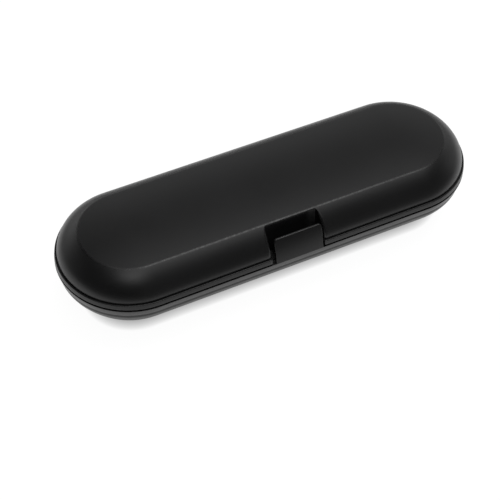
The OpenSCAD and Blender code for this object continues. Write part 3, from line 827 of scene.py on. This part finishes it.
# The catch rib that the latch's hook bites over.
CATCH_W = 18.0
CATCH_Y = -29.81
lid_parts.append(block([
    (CATCH_Y, LEDGE_Z), (CATCH_Y, LEDGE_Z - 0.9), (-25.5, LEDGE_Z - 2.6), (-25.0, LEDGE_Z)],
    -CATCH_W / 2, CATCH_W / 2))

# Three ribs that hold the toothbrush's handle from above.
HANDLE_Y = 9.5
HANDLE_R = 13.0
SADDLES = (-STRAIGHT + 15, 0, STRAIGHT - 15)
HOLD_R = HANDLE_R + 0.6
HOLD_LOW = BASE_H + 6.5
HOLD_SIDE = HANDLE_R - 1


def arc(centre, radius, turn):
    """Points on a circle at the given angles."""
    return np.stack([centre[0] + radius * np.cos(turn), centre[1] + radius * np.sin(turn)], axis=1)


hold_start = math.asin((HOLD_LOW - DECK_Z) / HOLD_R)
hold_top = HANDLE_Y + HOLD_SIDE * np.array([1, 0, -1])
hold_rib = [
    (HANDLE_Y - HOLD_SIDE, HOLD_LOW),
    *arc((HANDLE_Y, DECK_Z), HOLD_R, np.linspace(math.pi - hold_start, hold_start, 33)),
    (HANDLE_Y + HOLD_SIDE, HOLD_LOW), *dome(hold_top, WALL / 2)]
for x in SADDLES:
    lid_parts.append(block(hold_rib, x - RIB_T / 2, x + RIB_T / 2))

piece("lid_shell_moulding", lid_parts, "lid", shell_black, "lid_shell")

# ---- Latch tab ----
# A flexing tongue of the same plastic that stands up from the base's rim, in the recess. It bends at its
# root, and a hook on its inner face bites over the lid's catch rib.
TAB_H = 12.6
TAB_T = 1.8
TAB_LEAN = 4.3
TAB_SHIFT = 0.7
TAB_CORNER = 2.4
TAB_SIDE_R = 0.5
TAB_ROWS = 40

# The tab is a rounded rectangle swept up its leaning middle line, which ends in a half round.
tab_face = cubic([
    (-END_R, BASE_H), (-END_R + 0.22 * TAB_LEAN, BASE_H + 0.38 * TAB_H),
    (-END_R + 0.5 * TAB_LEAN, BASE_H + 0.72 * TAB_H), (-END_R + TAB_LEAN - 0.5, BASE_H + TAB_H - 0.7)], 200)
tab_middle = even(offset(tab_face, TAB_T / 2), TAB_ROWS)
tab_ahead = unit(np.gradient(tab_middle, axis=0))
turn = np.linspace(0, math.pi / 2, 9)[1:]
tab_middle = np.concatenate([tab_middle, tab_middle[-1] + TAB_T / 2 * np.sin(turn)[:, None] * tab_ahead[-1]])
tab_ahead = np.concatenate([tab_ahead, np.repeat(tab_ahead[-1:], len(turn), axis=0)])
tab_half_t = np.concatenate([np.full(TAB_ROWS, TAB_T / 2), TAB_T / 2 * np.cos(turn)])
tab_rise = np.clip(tab_middle[:, 1] - (BASE_H + TAB_H - TAB_CORNER), 0, TAB_CORNER)
tab_half_w = TAB_W / 2 - TAB_CORNER + np.sqrt(TAB_CORNER ** 2 - tab_rise ** 2)


def rounded_ring(steps=6):
    """The outline of a rounded rectangle, counter-clockwise: for each point the signs of its corner, and its
    direction from the corner's centre."""
    signs, ways = [], []
    for k, (sx, sy) in enumerate(((1, -1), (1, 1), (-1, 1), (-1, -1))):
        angle = np.linspace(-math.pi / 2, 0, steps + 1) + k * math.pi / 2
        signs.append(np.repeat([[sx, sy]], steps + 1, axis=0))
        ways.append(np.stack([np.cos(angle), np.sin(angle)], 1))
    return np.concatenate(signs), np.concatenate(ways)


ring_sign, ring_way = rounded_ring()
tab_corner = np.minimum(TAB_SIDE_R, tab_half_t)[:, None]
ring_x = ring_sign[:, 0] * (tab_half_w[:, None] - tab_corner) + ring_way[:, 0] * tab_corner
ring_d = ring_sign[:, 1] * (tab_half_t[:, None] - tab_corner) + ring_way[:, 1] * tab_corner
across_tab = np.stack([tab_ahead[:, 1], -tab_ahead[:, 0]], 1)
tab_points = np.concatenate([
    ring_x[..., None], tab_middle[:, None] + ring_d[..., None] * across_tab[:, None]], axis=2)
tab_points, tab_faces = grid(tab_points + (TAB_SHIFT, 0, 0))
tab_faces.append(list(range(len(ring_sign)))[::-1])

# The hook on its inner face, which stands CATCH_GAP in front of the lid's catch rib.
CATCH_GAP = 0.15
HOOK_Y = CATCH_Y - CATCH_GAP
hook = block([
    (-33.6, LEDGE_Z + 0.25), (HOOK_Y, LEDGE_Z + 0.25), (HOOK_Y, LEDGE_Z + 0.8), (-32.8, LEDGE_Z + 3.2)],
    -CATCH_W / 2, CATCH_W / 2)
tab_parts = [(tab_points, tab_faces), hook]
piece("latch_tab_moulding", tab_parts, "latch", shell_black, "latch_tab")

# ---- Holder tray ----
# A matt black moulded sheet that lies on the base's ribs. It has a round-bottomed trough for the handle and
# two flat pockets for brush heads, with saddles and clips that hold what lies in them. Two stakes fix it.
tray_black = moulded_plastic("matt_black_plastic", (0.017, 0.017, 0.018), 0.5, 0.35, 0.05)
LIP_R = 0.6
TROUGH_R = HANDLE_R + 1.5
TROUGH_HALF = STRAIGHT + END_R - 17 - TROUGH_R
POCKET_R = 7.5
POCKET_Y = HANDLE_Y - TROUGH_R - 1.6 - POCKET_R
POCKET_X = 45.0
POCKET_HALF = 32.5
POCKET_D = 10.5
POCKET_FOOT_R = 1.2
BOWL_STEP = 6.0
DECK_STEP = 5.0
STAKE_R = 1.25
BAY_X = LANDING_X + 0.4
BAY_Y = LANDING_Y + 0.3


def bowl(centre, half, path):
    """A hollow let into the deck: the path of (distance, height) from its lip down to its centre line, swept
    round a stadium."""
    place, out = stadium(np.linspace(-half, half, max(2, int(2 * half / BOWL_STEP) + 1)), half, 24)
    rows_points = sweep(place + np.array(centre), out, np.repeat(np.array(path)[:, None], len(place), axis=1))
    return grid(rows_points), rows_points[0]


lip = np.linspace(math.pi / 2, 0, 6)
down = np.linspace(0, math.pi / 2, 26)[1:]
trough_path = np.concatenate([
    np.stack([TROUGH_R + LIP_R - LIP_R * np.cos(lip), DECK_Z - LIP_R + LIP_R * np.sin(lip)], 1),
    np.stack([TROUGH_R * np.cos(down), DECK_Z - TROUGH_R * np.sin(down)], 1)])
pocket_path = np.concatenate([
    np.stack([POCKET_R + LIP_R - LIP_R * np.cos(lip), DECK_Z - LIP_R + LIP_R * np.sin(lip)], 1),
    rounded([
        (POCKET_R, DECK_Z - LIP_R, 0), (POCKET_R, DECK_Z - POCKET_D, POCKET_FOOT_R),
        (0, DECK_Z - POCKET_D, 0)], 7)[1:]])
tray_parts, rims = [], []
for centre, half, path in (
        ((0, HANDLE_Y), TROUGH_HALF, trough_path), ((-POCKET_X, POCKET_Y), POCKET_HALF, pocket_path),
        ((POCKET_X, POCKET_Y), POCKET_HALF, pocket_path)):
    part, rim = bowl(centre, half, path)
    tray_parts.append(part)
    rims.append(rim)
hole_turn = np.linspace(0, 2 * math.pi, 33)[:-1]
for x in (-POST_X, POST_X):
    rims.append(np.insert(arc((x, 0), STAKE_R, hole_turn), 2, DECK_Z, axis=1))
deck_stations = np.linspace(-STRAIGHT, STRAIGHT, int(2 * STRAIGHT / DECK_STEP) + 1)
edge_place, edge_out = stadium(deck_stations, STRAIGHT, 40)
edge = edge_place + edge_out * TRAY_R
front_edge = (edge[:, 1] < -TRAY_R + 0.01) & (abs(edge[:, 0]) < BAY_X + 0.5)
first = int(np.flatnonzero(front_edge)[0])
bay = np.array([(-BAY_X, -TRAY_R), (-BAY_X, BAY_Y), (BAY_X, BAY_Y), (BAY_X, -TRAY_R)])
edge = np.concatenate([edge[:first], bay, edge[first:][~front_edge[first:]]])
rims.append(np.insert(edge, 2, DECK_Z, axis=1))


def filled(loops):
    """The flat area between closed loops of points, as triangles that face upwards."""
    sheet = bmesh.new()
    for loop in loops:
        corners = [sheet.verts.new(point) for point in loop]
        for one, two in zip(corners, corners[1:] + corners[:1]):
            sheet.edges.new((one, two))
    bmesh.ops.triangle_fill(sheet, edges=sheet.edges, use_beauty=True, normal=(0, 0, 1))
    sheet.verts.index_update()
    points = np.array([v.co for v in sheet.verts])
    faces = [[v.index for v in (f.verts if f.normal.z > 0 else reversed(f.verts))] for f in sheet.faces]
    sheet.free()
    return points, faces


tray_parts.append(filled(rims))
tray = piece("holder_tray_sheet", tray_parts, "base", tray_black, "holder_tray", 50)
solid = tray.modifiers.new("thickness", "SOLIDIFY")
solid.thickness = TRAY_T * MM
solid.offset = -1
solid.use_even_offset = True

# Three saddles in the trough, and below them two clips in each pocket, all one moulding with the sheet.
SADDLE_LOW = 0.066
SADDLE_TOP = 0.075
SADDLE_SEAT = HANDLE_R + 0.4
saddle = [
    *arc((HANDLE_Y, DECK_Z), TROUGH_R + TRAY_T / 2, np.linspace(
        math.pi + SADDLE_LOW, 2 * math.pi - SADDLE_LOW, 49)),
    *arc((HANDLE_Y, DECK_Z), SADDLE_SEAT, np.linspace(2 * math.pi - SADDLE_TOP, math.pi + SADDLE_TOP, 49))]
rest_parts = [block(saddle, x - RIB_T / 2, x + RIB_T / 2, 0.25) for x in SADDLES]

NECK_R = 3.6
NECK_Z = DECK_Z - 4.5
CLIP_T = 1.8
CLIP_IN = 18
CLIP_SIDE = POCKET_R + TRAY_T / 2
CLIP_LOW = DECK_Z - POCKET_D - TRAY_T / 2
CLIP_TOP = DECK_Z - TRAY_T / 2 - 0.5
SLOT_HALF = NECK_R - 0.5
slot_start = math.acos(SLOT_HALF / NECK_R)
clip = [
    (POCKET_Y - CLIP_SIDE, CLIP_LOW), (POCKET_Y + CLIP_SIDE, CLIP_LOW), (POCKET_Y + CLIP_SIDE, CLIP_TOP),
    (POCKET_Y + SLOT_HALF, CLIP_TOP),
    *arc((POCKET_Y, NECK_Z), NECK_R, np.linspace(slot_start, -math.pi - slot_start, 41)),
    (POCKET_Y - SLOT_HALF, CLIP_TOP), (POCKET_Y - CLIP_SIDE, CLIP_TOP)]
for x in (s * POCKET_X + e * (POCKET_HALF + POCKET_R - CLIP_IN) for s in (-1, 1) for e in (-1, 1)):
    rest_parts.append(block(clip, x - CLIP_T / 2, x + CLIP_T / 2, 0.25))
piece("holder_tray_saddles_and_clips", rest_parts, "base", tray_black)

# ---- Hinge pins ----
# Two plain steel pins, drawn wire cut to length, pressed into the base's barrels. The lid's barrels turn on
# them. The CAD's own pins are kept, and get fine lines along the wire.
STEEL_COLOR = (0.5, 0.5, 0.51, 1)
WIRE_LINES = (60, 3000, 3000)
steel, steel_tree, steel_shader = new_material("drawn_steel")
steel_shader.inputs["Base Color"].default_value = STEEL_COLOR
steel_shader.inputs["Metallic"].default_value = 1
stretch = steel_tree.nodes.new("ShaderNodeMapping")
stretch.inputs["Scale"].default_value = WIRE_LINES
steel_tree.links.new(steel_tree.nodes.new("ShaderNodeTexCoord").outputs["Object"], stretch.inputs["Vector"])
shine = span(noise(stretch.outputs["Vector"], 1, 2), 0, 1, 0.22, 0.42)
steel_tree.links.new(shine, steel_shader.inputs["Roughness"])
for name in ("hinge_pin_left", "hinge_pin_right"):
    pin_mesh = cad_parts[name].data
    pin_mesh.materials.clear()
    pin_mesh.materials.append(steel)
